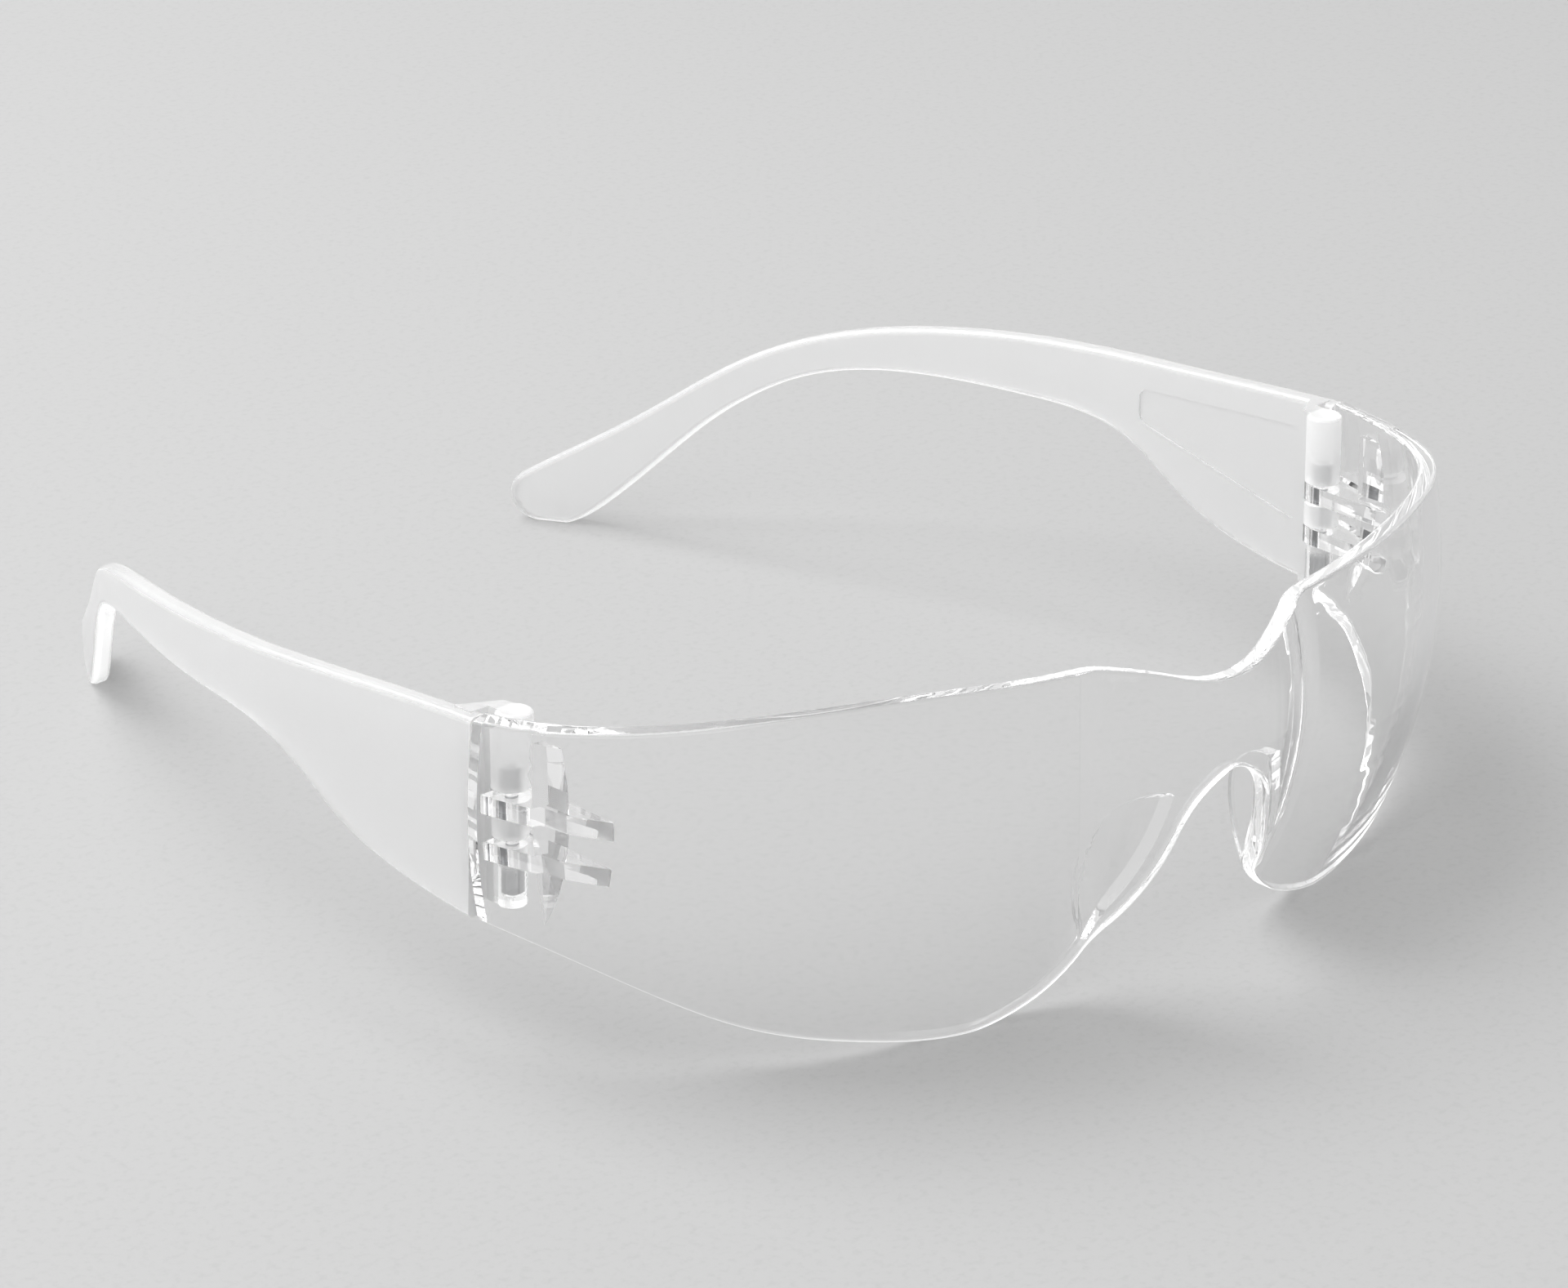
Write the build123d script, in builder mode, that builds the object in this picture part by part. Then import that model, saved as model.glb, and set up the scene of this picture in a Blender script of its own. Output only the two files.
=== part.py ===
"""Wraparound safety glasses: one moulded lens, two folding temples and two hinge pins.

Millimetres. X is across the face, the glasses look along -Y, +Z is up. They stand on z = 0
on the lens' lower edge and the temple tips, with the origin below the middle of their box.
The wearer's right is -X.
"""
import os
from math import cos, radians, sin, sqrt, tan

from build123d import *

# Lens: each eye zone is a barrel-shaped surface turned about an upright axis
lens_wall = 2.2
body_overrun = 6.0
eye_radius = 52.3
eye_arch_radius = 72.0
eye_axis_x = 20.7
eye_axis_back = 8.9
eye_widest_z = 31.0
lens_depth = 48.4
lens_height = 45.1
side_top_z = 39.9
side_bottom_z = 15.7
rear_edge_lean = 2.8
lens_rim_round = 0.5

# Bridge: a smaller barrel that stands proud between the two eye zones
bridge_half_width = 17.5
bridge_arch_radius = 50.0
bridge_top_z = 39.2
nose_arch_z = 27.9
lowest_x = 28.5
crease_round = 6.0

# Nose flanges behind the edge of the nose arch
flange_top = (8.3, 26.6)
flange_foot = (14.4, 8.4)
flange_depth = 5.0
flange_thickness = 1.5
flange_flare = 20.0

# Hinges
pin_diameter = 1.5
pin_off_wall = 3.6
pin_ahead = 0.9
pin_running_clearance = 0.05
rib_half_width = 2.0
rib_thickness = 2.2
lower_rib_z = 24.2
rib_spacing = 5.7
land_inset = 5.5
land_start = 6.6
land_top_z = 38.6
knuckle_radius = 2.2
foot_knuckle_radius = 1.6
slot_clearance = 0.3
pin_end_cover = 1.2
pin_above_ribs = 3.0
pin_chamfer = 0.2

# Temples
temple_thickness = 2.6
temple_inset = 0.5
temple_gap = 0.4
temple_straight = 33.0
temple_bend_radius = 110.0
temple_bend_angle = 32.0
temple_length = 127.4
temple_front_top = 40.2
temple_front_bottom = 15.4
temple_neck_start = 35.5
temple_rim_round = 0.8
tip_radius = 3.8
tip_slope_angle = 37.0
tip_rest_length = 3.0
panel_depth = 0.25
panel_margin = 4.2
panel_front = 5.0
panel_back = 33.0
panel_front_height = 13.0
panel_back_height = 4.5
panel_corner = 1.5
panel_fall = 2.4
knuckle_foot_rise = 1.8
web_half_width = 1.0
web_side = 1.4
web_clearance = 0.2
web_end = 4.6
knuckle_top_round = 0.6


def temple_back(s):
    """How far behind the lens' rear edge a temple point stands, s along the flat temple."""
    bend_length = temple_bend_radius * radians(temple_bend_angle)
    bent = min(max(s - temple_straight, 0), bend_length)
    tail = max(s - temple_straight - bend_length, 0)
    straight = min(s, temple_straight)
    turn = bent / temple_bend_radius
    return (temple_gap + straight + temple_bend_radius * sin(turn)
            + tail * cos(radians(temple_bend_angle)))


# Places that follow from the sizes above
rear_y = (lens_depth - temple_back(temple_length)) / 2
eye_axis_y = rear_y + eye_axis_back
front_y = rear_y - lens_depth
side_half_width = eye_axis_x + sqrt(eye_radius**2 - eye_axis_back**2)
crease_y = eye_axis_y - sqrt(eye_radius**2 - (eye_axis_x - bridge_half_width)**2)
bridge_rise = crease_y - front_y
bridge_radius = (bridge_half_width**2 + bridge_rise**2) / (2 * bridge_rise)
bridge_axis_y = front_y + bridge_radius
lens_zones = (
    (-eye_axis_x, eye_axis_y, eye_radius, eye_arch_radius),
    (eye_axis_x, eye_axis_y, eye_radius, eye_arch_radius),
    (0, bridge_axis_y, bridge_radius, bridge_arch_radius),
)
pin_x = side_half_width - lens_wall - pin_off_wall
pin_y = rear_y - pin_ahead
upper_rib_z = lower_rib_z + rib_spacing
rib_levels = (lower_rib_z, upper_rib_z)
temple_x = side_half_width - temple_inset
temple_y = rear_y + temple_gap
temple_foot_y = temple_y + (temple_front_top - temple_front_bottom) * tan(radians(rear_edge_lean))
web_start_y = temple_foot_y + web_clearance
web_side_x = pin_x + web_side
tip_y = rear_y + temple_back(temple_length) - tip_radius
tip_slope = radians(tip_slope_angle)
knuckle_top = temple_front_top
knuckle_foot = temple_front_bottom + knuckle_foot_rise
pin_bottom = knuckle_foot + pin_end_cover
pin_top = upper_rib_z + rib_thickness / 2 + pin_above_ribs
pin_hole_radius = pin_diameter / 2 + pin_running_clearance


def zone_reach(radius, arch, z):
    """How far a barrel zone's surface stands from its axis at a height."""
    return radius - arch + sqrt(arch**2 - (z - eye_widest_z)**2)


def lens_body(inset):
    """The full body under the lens' surface, moved in by a distance."""
    low = -body_overrun
    high = lens_height + body_overrun
    with BuildPart() as body:
        for axis_x, axis_y, radius, arch in lens_zones:
            rim = radius - inset
            foot = (zone_reach(rim, arch - inset, low), low)
            head = (zone_reach(rim, arch - inset, high), high)
            axis_foot = (axis_x, axis_y, 0)
            with BuildSketch(Plane(origin=axis_foot, x_dir=(1, 0, 0), z_dir=(0, -1, 0))):
                with BuildLine():
                    Line((0, low), foot)
                    ThreePointArc(foot, (rim, eye_widest_z), head)
                    Polyline(head, (0, high), (0, low))
                make_face()
            revolve(axis=Axis(axis_foot, (0, 0, 1)))
        creases = body.edges().filter_by(
            lambda edge: 0 < abs(edge.center().X) < bridge_half_width + crease_round
            and edge.length > lens_height / 2
            and 0 < edge.center().Z < lens_height
            and edge.center().Y < bridge_axis_y
        )
        fillet(creases, crease_round + inset)
    return body.part


def on_inner_surface(x, z):
    """A point on the lens' inner surface, on the eye zone or the bridge in front of it."""
    fronts = []
    for axis_x, axis_y, radius, arch in lens_zones[1:]:
        reach_square = zone_reach(radius - lens_wall, arch - lens_wall, z)**2 - (x - axis_x)**2
        fronts.append(axis_y - sqrt(max(reach_square, 0)))
    return Vector(x, min(fronts), z)


flange_middle = (on_inner_surface(*flange_top) + on_inner_surface(*flange_foot)) / 2
flange_run = on_inner_surface(*flange_foot) - on_inner_surface(*flange_top)
flange_half_length = flange_run.length / 2


def flange_plane(side):
    """The plane of a nose flange: x runs down its root, y runs back from the lens."""
    down = Vector(side * flange_run.X, flange_run.Y, flange_run.Z)
    back = Vector(side * sin(radians(flange_flare)), cos(radians(flange_flare)), 0)
    middle = (side * flange_middle.X, flange_middle.Y, flange_middle.Z)
    return Plane(origin=middle, x_dir=down, z_dir=down.cross(back))


def side_point(s, z):
    """A point of the temple's outline in side view, s along the flat temple."""
    return (rear_y + temple_back(s), z)


def ear_point(share, z):
    """The same behind the neck, at a share of the way from the neck to the tip."""
    return side_point(temple_neck_start + share * (temple_length - temple_neck_start), z)


outer_body = lens_body(0)
middle_body = lens_body(lens_wall / 2)
inner_body = lens_body(lens_wall)

# Front view of the lens, right half, closed outside its side by a wide margin
side_margin = side_half_width + body_overrun
front_cut = 2 * abs(front_y)
with BuildSketch(Plane.XZ) as lens_front:
    with BuildLine():
        Spline(
            (0, bridge_top_z),
            (10.4, bridge_top_z + 2.4),
            (23.0, lens_height - 1.3),
            (41.0, lens_height),
            (57.0, lens_height - 1.5),
            (side_half_width, side_top_z),
            (side_margin, side_top_z - 1.6),
            tangents=((1, 0), (1, -0.27)),
        )
        Spline(
            (0, nose_arch_z),
            (4.6, nose_arch_z - 2.4),
            (7.5, nose_arch_z - 7.9),
            (10.3, nose_arch_z - 14.9),
            (14.6, 6.3),
            (20.2, 2.2),
            (lowest_x, 0),
            tangents=((1, 0), (1, 0)),
            tangent_scalars=(0.6, 0.6),
        )
        Spline(
            (lowest_x, 0),
            (42.0, 1.9),
            (54.0, 5.2),
            (side_half_width - 2, side_bottom_z - 0.8),
            (side_margin, side_bottom_z + 3.0),
            tangents=((1, 0), (1, 0.45)),
        )
        Line((side_margin, side_top_z - 1.6), (side_margin, side_bottom_z + 3.0))
        Line((0, nose_arch_z), (0, bridge_top_z))
    make_face()
    mirror(about=Plane.YZ)

rear_edge_plane = Plane(
    origin=(0, rear_y, side_top_z),
    x_dir=(1, 0, 0),
    z_dir=(0, cos(radians(rear_edge_lean)), sin(radians(rear_edge_lean))),
)

with BuildPart() as lens_inside:
    for side in (-1, 1):
        for level in rib_levels:
            with BuildSketch(Plane.XY.offset(level - rib_thickness / 2)):
                with Locations((side * pin_x, pin_y)):
                    Circle(rib_half_width)
                with BuildLine():
                    Polyline(
                        (side * (pin_x - rib_half_width), pin_y),
                        (side * (pin_x - rib_half_width), front_y),
                        (side * side_margin, front_y),
                        (side * side_margin, pin_y + pin_ahead),
                        (side * pin_x, pin_y + pin_ahead),
                        (side * pin_x, pin_y),
                        close=True,
                    )
                make_face()
            extrude(amount=rib_thickness)
        # Flat land on the wall ahead of the knuckle
        land_x = side_half_width - land_inset
        with Locations((side * land_x, rear_y - land_start, side_bottom_z)):
            Box(
                2 * land_inset,
                lens_depth,
                land_top_z - side_bottom_z,
                align=(Align.MIN if side > 0 else Align.MAX, Align.MAX, Align.MIN),
            )
        with BuildSketch(flange_plane(side)):
            with BuildLine():
                rim = ThreePointArc(
                    (-flange_half_length, 0), (0, flange_depth), (flange_half_length, 0)
                )
                Polyline(
                    rim @ 1,
                    (flange_half_length, -lens_wall),
                    (-flange_half_length, -lens_wall),
                    rim @ 0,
                )
            make_face()
        extrude(amount=flange_thickness / 2, both=True)
    add(middle_body, mode=Mode.INTERSECT)


with BuildPart() as lens:
    add(outer_body)
    add(inner_body, mode=Mode.SUBTRACT)
    split(bisect_by=rear_edge_plane, keep=Keep.BOTTOM)
    extrude(lens_front.sketch, amount=front_cut, both=True, mode=Mode.INTERSECT)
    outline_faces = lens.faces().filter_by(lambda face: abs(face.normal_at().Y) < 0.01)
    rim_edges = ShapeList(edge for face in outline_faces for edge in face.edges())
    rim_edges = rim_edges.filter_by(lambda edge: edge.length > lens_wall + lens_rim_round)
    fillet(rim_edges, lens_rim_round)
    add(lens_inside.part)
    with Locations((-pin_x, pin_y, 0), (pin_x, pin_y, 0)):
        Cylinder(
            pin_hole_radius, lens_height, align=(Align.CENTER, Align.CENTER, Align.MIN),
            mode=Mode.SUBTRACT,
        )

with BuildPart() as left_temple:
    with BuildSketch(Plane.XY):
        with BuildLine():
            outer_front = Line((temple_x, temple_y), (temple_x, temple_y + temple_straight))
            outer_bend = JernArc(
                outer_front @ 1, (0, 1), temple_bend_radius, temple_bend_angle
            )
            outer_tail = Line(outer_bend @ 1, outer_bend @ 1 + (outer_bend % 1) * temple_length)
            inner_x = temple_x - temple_thickness
            inner_front = Line((inner_x, temple_y), (inner_x, temple_y + temple_straight))
            inner_bend = JernArc(
                inner_front @ 1, (0, 1), temple_bend_radius - temple_thickness, temple_bend_angle
            )
            inner_tail = Line(inner_bend @ 1, inner_bend @ 1 + (inner_bend % 1) * temple_length)
            Line(outer_tail @ 1, inner_tail @ 1)
            Line(outer_front @ 0, inner_front @ 0)
        make_face()
    extrude(amount=temple_front_top + 1)
    with BuildSketch(Plane.YZ):
        with BuildLine():
            top_edge = Spline(
                (temple_y, temple_front_top),
                side_point(30, temple_front_top - 2.5),
                ear_point(0.32, temple_front_top - 5.8),
                ear_point(0.615, 27.3),
                ear_point(0.81, 16.1),
                (tip_y + tip_radius * sin(tip_slope), tip_radius * (1 + cos(tip_slope))),
                tangents=((1, -0.06), (cos(tip_slope), -sin(tip_slope))),
            )
            tip_back = ThreePointArc(
                top_edge @ 1,
                (tip_y + tip_radius, tip_radius),
                (tip_y, 0),
            )
            tip_rest = Line(tip_back @ 1, (tip_y - tip_rest_length, 0))
            under_edge = Spline(
                tip_rest @ 1,
                ear_point(0.79, 8.5),
                ear_point(0.67, 18.3),
                ear_point(0.55, 24.4),
                ear_point(0.375, 27.3),
                ear_point(0.19, 27.6),
                side_point(temple_neck_start, temple_front_bottom + 10.5),
                side_point(24, temple_front_bottom + 4.4),
                side_point(12, temple_front_bottom + 1.1),
                (temple_foot_y, temple_front_bottom),
                tangents=((-1, 0), (-1, -0.05)),
                tangent_scalars=(0.4, 1),
            )
            Line(under_edge @ 1, top_edge @ 0)
        make_face()
    extrude(amount=side_margin, mode=Mode.INTERSECT)
    plate_faces = left_temple.faces().filter_by(lambda face: abs(face.normal_at().X) > 0.5)
    plate_edges = ShapeList(edge for face in plate_faces for edge in face.edges())
    rim_edges = plate_edges.filter_by(Axis.Z, reverse=True).filter_by(
        lambda edge: edge.center().Y > temple_foot_y + temple_rim_round
    )
    fillet(rim_edges, temple_rim_round)
    # Shallow panel on the inner face, lower towards its rear end
    with BuildSketch(Plane(origin=(inner_x, 0, 0), x_dir=(0, 1, 0), z_dir=(1, 0, 0))):
        with BuildLine():
            panel_top = temple_front_top - panel_margin
            Polyline(
                side_point(panel_front, panel_top),
                side_point(panel_back, panel_top - panel_fall),
                side_point(panel_back, panel_top - panel_fall - panel_back_height),
                side_point(panel_front, panel_top - panel_front_height),
                close=True,
            )
        make_face()
        fillet(vertices(), panel_corner)
    extrude(amount=panel_depth, mode=Mode.SUBTRACT)
    # Web from the plate in to the pin, behind the lens' leaning rear edge
    with BuildSketch(Plane.XY.offset(knuckle_foot)):
        with BuildLine():
            Polyline(
                (pin_x - web_half_width, pin_y),
                (web_side_x, pin_y),
                (web_side_x, web_start_y),
                (temple_x - temple_thickness / 2, web_start_y),
                (temple_x - temple_thickness / 2, rear_y + web_end),
                (pin_x - web_half_width, web_start_y),
                close=True,
            )
        make_face()
    extrude(amount=knuckle_top - knuckle_foot)
    # Knuckles round the pin, the one below the ribs narrower
    with Locations((pin_x, pin_y, lower_rib_z)):
        Cylinder(
            knuckle_radius, knuckle_top - lower_rib_z,
            align=(Align.CENTER, Align.CENTER, Align.MIN),
        )
    with Locations((pin_x, pin_y, knuckle_foot)):
        Cylinder(
            foot_knuckle_radius, lower_rib_z - knuckle_foot,
            align=(Align.CENTER, Align.CENTER, Align.MIN),
        )
    knuckle_top_edges = left_temple.edges().filter_by(
        lambda edge: abs(edge.center().Z - knuckle_top) < 0.01 and edge.center().Y < temple_y
    )
    fillet(knuckle_top_edges, knuckle_top_round)
    # Slots that the lens' ribs turn in
    for level in rib_levels:
        with Locations((pin_x, pin_y, level)):
            Cylinder(
                rib_half_width + slot_clearance, rib_thickness + 2 * slot_clearance,
                mode=Mode.SUBTRACT,
            )
    with Locations((pin_x, pin_y, pin_bottom)):
        Cylinder(
            pin_diameter / 2, pin_top - pin_bottom,
            align=(Align.CENTER, Align.CENTER, Align.MIN), mode=Mode.SUBTRACT,
        )

with BuildPart() as right_temple:
    add(mirror(left_temple.part, about=Plane.YZ))

with BuildPart() as left_hinge_pin:
    with Locations((pin_x, pin_y, pin_bottom)):
        Cylinder(
            pin_diameter / 2, pin_top - pin_bottom,
            align=(Align.CENTER, Align.CENTER, Align.MIN),
        )
    chamfer(left_hinge_pin.edges().filter_by(GeomType.CIRCLE), pin_chamfer)

with BuildPart() as right_hinge_pin:
    add(mirror(left_hinge_pin.part, about=Plane.YZ))

lens.part.label = "lens"
left_temple.part.label = "left_temple"
right_temple.part.label = "right_temple"
left_hinge_pin.part.label = "left_hinge_pin"
right_hinge_pin.part.label = "right_hinge_pin"

os.makedirs("parts", exist_ok=True)
for piece in (lens, left_temple, right_temple, left_hinge_pin, right_hinge_pin):
    export_step(piece.part, f"parts/{piece.part.label}.step")
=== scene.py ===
from math import radians

import bpy
from mathutils import Euler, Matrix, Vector


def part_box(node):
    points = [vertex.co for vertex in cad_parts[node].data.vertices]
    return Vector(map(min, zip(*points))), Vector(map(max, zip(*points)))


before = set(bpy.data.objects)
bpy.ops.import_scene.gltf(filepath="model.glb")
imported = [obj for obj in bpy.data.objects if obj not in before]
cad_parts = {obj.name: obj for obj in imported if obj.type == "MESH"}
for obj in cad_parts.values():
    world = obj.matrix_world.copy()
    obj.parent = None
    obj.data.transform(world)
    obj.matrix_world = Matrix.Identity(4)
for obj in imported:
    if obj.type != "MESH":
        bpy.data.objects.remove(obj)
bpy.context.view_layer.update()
print("loaded the glasses' frame")


def toLinear(hexColor):
    # an sRGB hex colour as linear RGBA
    parts = [int(hexColor[i:i + 2], 16) / 255 for i in (1, 3, 5)]
    linear = [p / 12.92 if p <= 0.04045 else ((p + 0.055) / 1.055) ** 2.4 for p in parts]
    return (*linear, 1.0)


def patternScale(millimetres):
    # noise scale for a grain of this size, on coordinates in metres
    return 1000 / millimetres


def addNode(tree, kind, settings=None, links=None):
    # one node, its plain settings and the sockets that feed it
    node = tree.nodes.new(kind)
    for name, value in (settings or {}).items():
        if name in node.inputs:
            node.inputs[name].default_value = value
        else:
            setattr(node, name, value)
    for name, source in (links or {}).items():
        tree.links.new(source, node.inputs[name])
    return node


def newMaterial(name):
    material = bpy.data.materials.new(name)
    material.use_nodes = True
    material.node_tree.nodes.clear()
    return material, material.node_tree


def giveMaterial(material, *nodes):
    for node in nodes:
        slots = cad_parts[node].data.materials
        slots.clear()
        slots.append(material)


# places in metres, turns in degrees, focal length and sensor in millimetres
camera = {
    "place": (-0.4570, -0.4996, 0.3054),
    "tilt": 66.946,
    "roll": 0.207,
    "turn": -43.057,
    "focalLength": 137.27,
    "sensorWidth": 36,
    "clipStart": 0.01,
}
bpy.ops.object.select_all(action="DESELECT")
bpy.ops.object.camera_add(
    location=camera["place"],
    rotation=Euler([radians(camera[turn]) for turn in ("tilt", "roll", "turn")]),
)
viewer = bpy.context.object
viewer.data.lens = camera["focalLength"]
viewer.data.sensor_width = camera["sensorWidth"]
viewer.data.clip_start = camera["clipStart"]
bpy.context.scene.camera = viewer
print("camera in place")

# Rough grey paper: matt and even, with faint flecks of pulp
floor = {
    "halfSize": 3.0,
    "color": "#B6B6B6",
    "fleckColor": "#B1B1B1",
    "fleckBelow": 0.3,
    "plainAbove": 0.5,
    "pulpSize": 1.11,
    "pulpRelief": 0.0002,
    "pulpStrength": 0.12,
    "roughness": 0.95,
}
paper, tree = newMaterial("greyPaper")
where = addNode(tree, "ShaderNodeTexCoord")
pulp = addNode(tree, "ShaderNodeTexNoise",
               {"Scale": patternScale(floor["pulpSize"]), "Detail": 4.0, "Roughness": 0.6},
               {"Vector": where.outputs["Object"]})
bump = addNode(tree, "ShaderNodeBump",
               {"Strength": floor["pulpStrength"], "Distance": floor["pulpRelief"]},
               {"Height": pulp.outputs["Fac"]})
fleck = addNode(tree, "ShaderNodeValToRGB", links={"Fac": pulp.outputs["Fac"]})
dark, plain = fleck.color_ramp.elements
dark.position = floor["fleckBelow"]
dark.color = toLinear(floor["fleckColor"])
plain.position = floor["plainAbove"]
plain.color = toLinear(floor["color"])
surface = addNode(tree, "ShaderNodeBsdfPrincipled", {"Roughness": floor["roughness"]},
                  {"Normal": bump.outputs["Normal"], "Base Color": fleck.outputs["Color"]})
addNode(tree, "ShaderNodeOutputMaterial", links={"Surface": surface.outputs["BSDF"]})

bpy.ops.mesh.primitive_plane_add(size=2 * floor["halfSize"])
ground = bpy.context.object
ground.name = "floor"
ground.data.materials.append(paper)
print("floor laid")

# soft light all round, a large lamp from behind and a weaker one from the front
studio = {
    "roomColor": "#F4F4F4",
    "roomStrength": 0.86,
    "keyPlace": (-0.25, 0.55, 0.95),
    "keySize": 0.9,
    "keyWatts": 9.0,
    "fillPlace": (-0.9, -0.2, 0.7),
    "fillSize": 1.2,
    "fillWatts": 4.0,
    "bounces": 40,
    "viewTransform": "Standard",
}
room = bpy.data.worlds.new("softRoom")
room.use_nodes = True
roomLight = room.node_tree.nodes["Background"].inputs
roomLight["Color"].default_value = toLinear(studio["roomColor"])
roomLight["Strength"].default_value = studio["roomStrength"]
bpy.context.scene.world = room
for lamp in ("key", "fill"):
    place = Vector(studio[lamp + "Place"])
    bpy.ops.object.light_add(type="AREA", location=place)
    light = bpy.context.object
    light.name = lamp + "Light"
    light.rotation_euler = (-place).to_track_quat("-Z", "Y").to_euler()
    light.data.size = studio[lamp + "Size"]
    light.data.energy = studio[lamp + "Watts"]
# light travels far inside the clear walls before it comes out at a rim
cycles = bpy.context.scene.cycles
cycles.max_bounces = studio["bounces"]
cycles.transmission_bounces = studio["bounces"]
cycles.glossy_bounces = studio["bounces"]
bpy.context.scene.view_settings.view_transform = studio["viewTransform"]
print("studio lit")

# Polycarbonate, moulded in a polished tool: clear and glossy, with a strong bend of light at
# its edges and the slow ripple that the flowing plastic leaves
lens = {
    "color": "#FDFDFD",
    "ior": 1.586,
    "rippleSize": 16.7,
    "rippleRelief": 0.0004,
    "rippleStrength": 0.01,
    "glowColor": "#FFFFFF",
    "rimGlow": 0.3,
    "darkAboveDown": -0.55,
    "litBelowDown": -0.8,
    "noseHalfWidth": 0.026,
    "noseFade": 0.004,
    "edgeForward": 0.12,
    "faceForward": 0.2,
}
clear, tree = newMaterial("polishedPolycarbonate")
where = addNode(tree, "ShaderNodeTexCoord")
flow = addNode(tree, "ShaderNodeTexNoise",
               {"Scale": patternScale(lens["rippleSize"]), "Detail": 1.0},
               {"Vector": where.outputs["Object"]})
ripple = addNode(tree, "ShaderNodeBump",
                 {"Strength": lens["rippleStrength"], "Distance": lens["rippleRelief"]},
                 {"Height": flow.outputs["Fac"]})
facing = addNode(tree, "ShaderNodeNewGeometry")
split = addNode(tree, "ShaderNodeSeparateXYZ", links={"Vector": facing.outputs["Normal"]})
# a weak glow stands for the light that runs down inside the wall and comes out at the
# lower rim, where faces look down, and round the nose arch, where they look sideways
lowerRim = addNode(tree, "ShaderNodeMapRange",
                   {"From Min": lens["darkAboveDown"], "From Max": lens["litBelowDown"]},
                   {"Value": split.outputs["Z"]})
place = addNode(tree, "ShaderNodeSeparateXYZ", links={"Vector": where.outputs["Object"]})
fromMiddle = addNode(tree, "ShaderNodeMath", {"operation": "ABSOLUTE"}, {0: place.outputs["X"]})
atNose = addNode(tree, "ShaderNodeMapRange",
                 {"From Min": lens["noseHalfWidth"] + lens["noseFade"],
                  "From Max": lens["noseHalfWidth"]},
                 {"Value": fromMiddle.outputs["Value"]})
forward = addNode(tree, "ShaderNodeMath", {"operation": "ABSOLUTE"}, {0: split.outputs["Y"]})
sideways = addNode(tree, "ShaderNodeMapRange",
                   {"From Min": lens["faceForward"], "From Max": lens["edgeForward"]},
                   {"Value": forward.outputs["Value"]})
noseRim = addNode(tree, "ShaderNodeMath", {"operation": "MULTIPLY"},
                  {0: atNose.outputs["Result"], 1: sideways.outputs["Result"]})
litRim = addNode(tree, "ShaderNodeMath", {"operation": "MAXIMUM"},
                 {0: lowerRim.outputs["Result"], 1: noseRim.outputs["Value"]})
glow = addNode(tree, "ShaderNodeMapRange", {"To Max": lens["rimGlow"]},
               {"Value": litRim.outputs["Value"]})
surface = addNode(tree, "ShaderNodeBsdfPrincipled",
                  {"Base Color": toLinear(lens["color"]), "Roughness": 0.0, "IOR": lens["ior"],
                   "Transmission Weight": 1.0, "Emission Color": toLinear(lens["glowColor"])},
                  {"Normal": ripple.outputs["Normal"], "Emission Strength": glow.outputs["Result"]})
addNode(tree, "ShaderNodeOutputMaterial", links={"Surface": surface.outputs["BSDF"]})
giveMaterial(clear, "lens")
print("lens clear")

# The same plastic, moulded in a spark-eroded tool: a milky frost on the faces, with clear
# polished rims and a clear foot on each knuckle. Such a grain is finer than a tenth of a
# millimetre, too fine to show, so it is drawn coarser
temple = {
    "color": "#FCFCFC",
    "ior": 1.586,
    "grainSize": 0.555,
    "grainRelief": 0.0001,
    "grainStrength": 0.2,
    "frostRoughness": 0.42,
    "rimRoughness": 0.12,
    "rimStarts": 0.25,
    "rimIsFull": 0.7,
    "haze": 0.42,
    "footHeight": 0.0034,
    "footFade": 0.0005,
    "knuckleReach": 0.0015,
    "knuckleFade": 0.0002,
    "glowColor": "#FFFFFF",
    "rimGlow": 0.35,
    "darkAboveDown": -0.3,
    "litBelowDown": -0.7,
    "knuckleGlow": 0.14,
}
# the knuckles stand round the pins, and each clear foot starts from its pin's lower end
pinLow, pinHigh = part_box("left_hinge_pin")
footTop = pinLow[2] + temple["footHeight"]
knuckleBack = (pinLow[1] + pinHigh[1]) / 2 + temple["knuckleReach"]
knuckleEdge = {"From Min": knuckleBack - temple["knuckleFade"],
               "From Max": knuckleBack + temple["knuckleFade"]}

frosted, tree = newMaterial("frostedPolycarbonate")
where = addNode(tree, "ShaderNodeTexCoord")
grain = addNode(tree, "ShaderNodeTexNoise",
                {"Scale": patternScale(temple["grainSize"]), "Detail": 2.0},
                {"Vector": where.outputs["Object"]})
frost = addNode(tree, "ShaderNodeBump",
                {"Strength": temple["grainStrength"], "Distance": temple["grainRelief"]},
                {"Height": grain.outputs["Fac"]})
facing = addNode(tree, "ShaderNodeNewGeometry")
split = addNode(tree, "ShaderNodeSeparateXYZ", links={"Vector": facing.outputs["Normal"]})
upright = addNode(tree, "ShaderNodeMath", {"operation": "ABSOLUTE"}, {0: split.outputs["Z"]})
rim = addNode(tree, "ShaderNodeMapRange",
              {"From Min": temple["rimStarts"], "From Max": temple["rimIsFull"]},
              {"Value": upright.outputs["Value"]})
gloss = addNode(tree, "ShaderNodeMapRange",
                {"To Min": temple["frostRoughness"], "To Max": temple["rimRoughness"]},
                {"Value": rim.outputs["Result"]})
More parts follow.
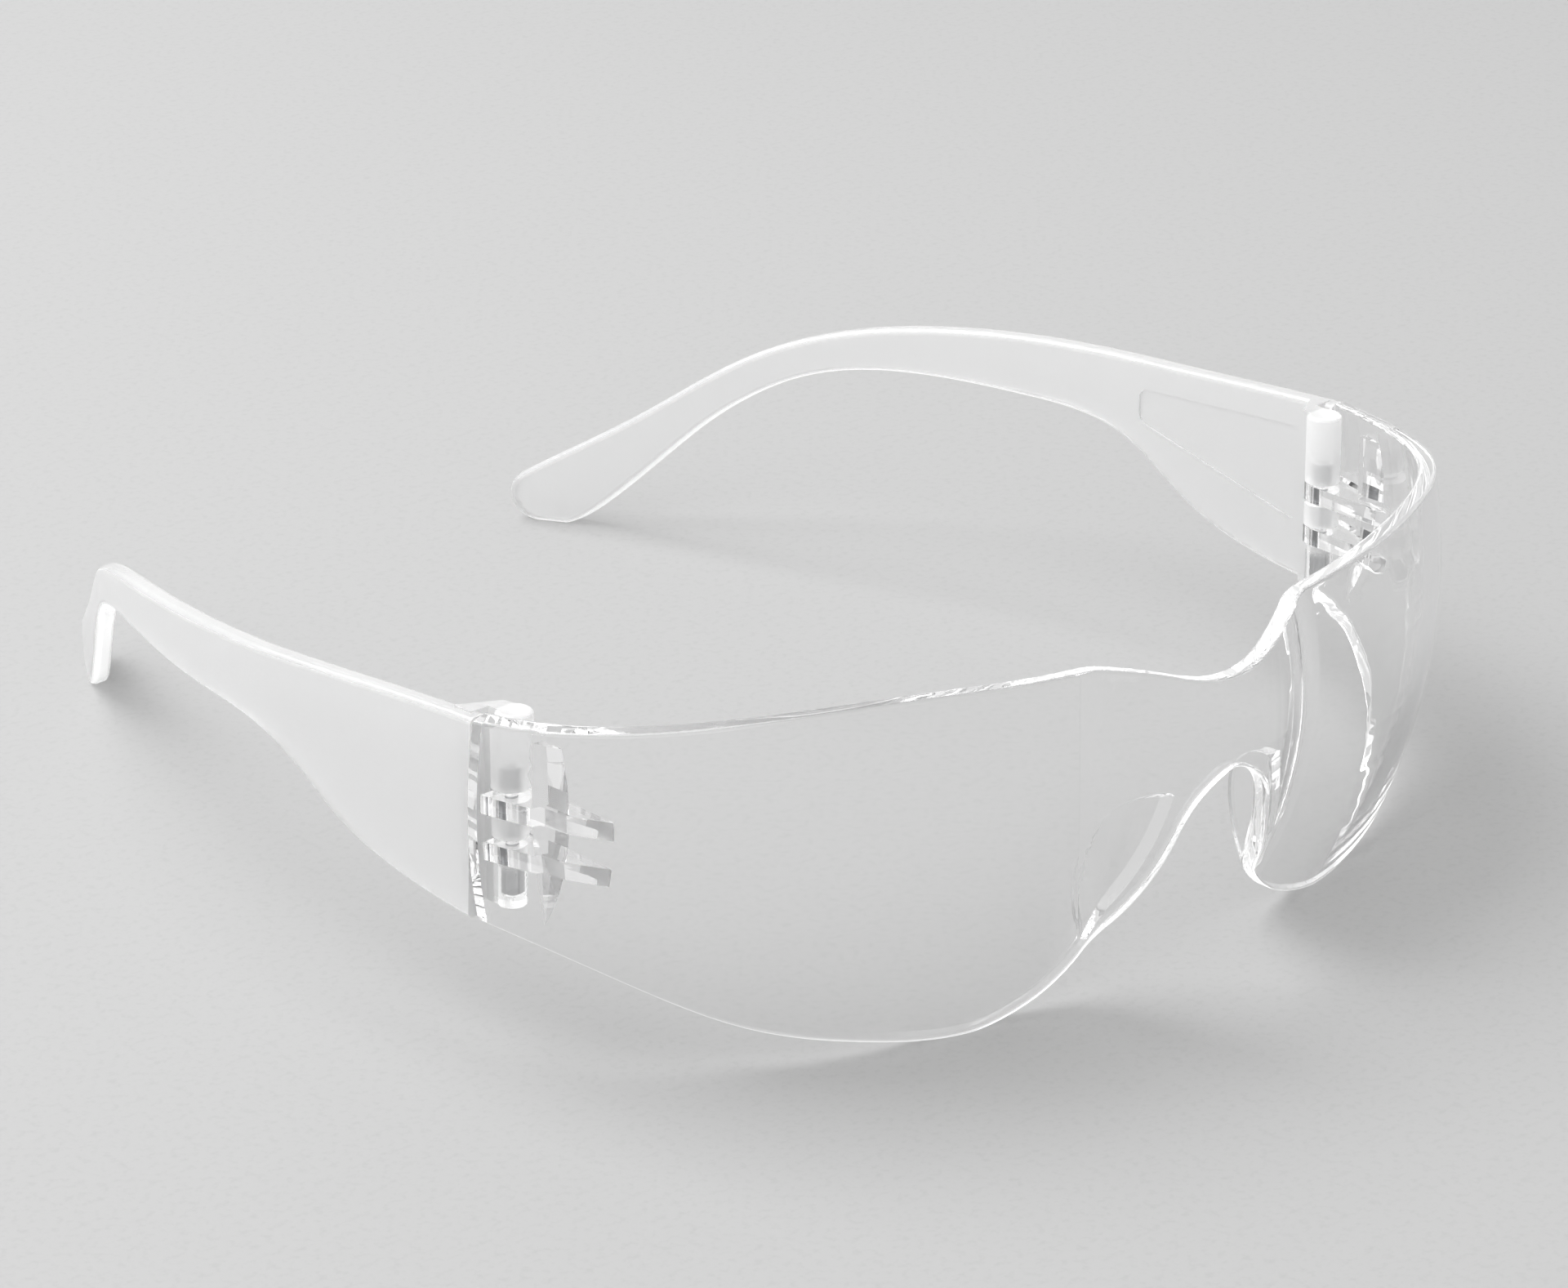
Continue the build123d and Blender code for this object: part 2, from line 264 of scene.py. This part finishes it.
# the foot of each knuckle is polished, so the pin shows in it
place = addNode(tree, "ShaderNodeSeparateXYZ", links={"Vector": where.outputs["Object"]})
aboveFoot = addNode(tree, "ShaderNodeMapRange",
                    {"From Min": footTop - temple["footFade"],
                     "From Max": footTop + temple["footFade"]},
                    {"Value": place.outputs["Z"]})
behindFoot = addNode(tree, "ShaderNodeMapRange", knuckleEdge, {"Value": place.outputs["Y"]})
hazy = addNode(tree, "ShaderNodeMath", {"operation": "MAXIMUM"},
               {0: aboveFoot.outputs["Result"], 1: behindFoot.outputs["Result"]})
roughness = addNode(tree, "ShaderNodeMath", {"operation": "MULTIPLY"},
                    {0: gloss.outputs["Result"], 1: hazy.outputs["Value"]})
clearness = addNode(tree, "ShaderNodeMapRange", {"To Min": 1.0, "To Max": 1.0 - temple["haze"]},
                    {"Value": hazy.outputs["Value"]})
# a weak glow stands for the light that gathers at the lower rim and in the thick knuckles
lowerRim = addNode(tree, "ShaderNodeMapRange",
                   {"From Min": temple["darkAboveDown"], "From Max": temple["litBelowDown"],
                    "To Max": temple["rimGlow"]},
                   {"Value": split.outputs["Z"]})
knuckle = addNode(tree, "ShaderNodeMapRange",
                  {**knuckleEdge, "To Min": temple["knuckleGlow"], "To Max": 0.0},
                  {"Value": place.outputs["Y"]})
glow = addNode(tree, "ShaderNodeMath", {"operation": "MAXIMUM"},
               {0: lowerRim.outputs["Result"], 1: knuckle.outputs["Result"]})
surface = addNode(tree, "ShaderNodeBsdfPrincipled",
                  {"Base Color": toLinear(temple["color"]), "IOR": temple["ior"],
                   "Emission Color": toLinear(temple["glowColor"])},
                  {"Normal": frost.outputs["Normal"], "Roughness": roughness.outputs["Value"],
                   "Transmission Weight": clearness.outputs["Result"],
                   "Emission Strength": glow.outputs["Value"]})
addNode(tree, "ShaderNodeOutputMaterial", links={"Surface": surface.outputs["BSDF"]})
giveMaterial(frosted, "left_temple", "right_temple")
print("temples frosted")

# Steel wire, drawn through a die: mid-grey metal with fine lines along it, which streak its
# shine. Such lines are too fine to show, so they are drawn coarser
pin = {
    "color": "#8E8F91",
    "lineSize": 0.111,
    "lineStretch": 20,
    "smoothRoughness": 0.22,
    "wornRoughness": 0.42,
}
steel, tree = newMaterial("drawnSteelWire")
where = addNode(tree, "ShaderNodeTexCoord")
along = addNode(tree, "ShaderNodeMapping", {"Scale": (1.0, 1.0, 1 / pin["lineStretch"])},
                {"Vector": where.outputs["Object"]})
lines = addNode(tree, "ShaderNodeTexNoise",
                {"Scale": patternScale(pin["lineSize"]), "Detail": 2.0},
                {"Vector": along.outputs["Vector"]})
wear = addNode(tree, "ShaderNodeMapRange",
               {"To Min": pin["smoothRoughness"], "To Max": pin["wornRoughness"]},
               {"Value": lines.outputs["Fac"]})
surface = addNode(tree, "ShaderNodeBsdfPrincipled",
                  {"Base Color": toLinear(pin["color"]), "Metallic": 1.0},
                  {"Roughness": wear.outputs["Result"]})
addNode(tree, "ShaderNodeOutputMaterial", links={"Surface": surface.outputs["BSDF"]})
giveMaterial(steel, "left_hinge_pin", "right_hinge_pin")
print("pins drawn")
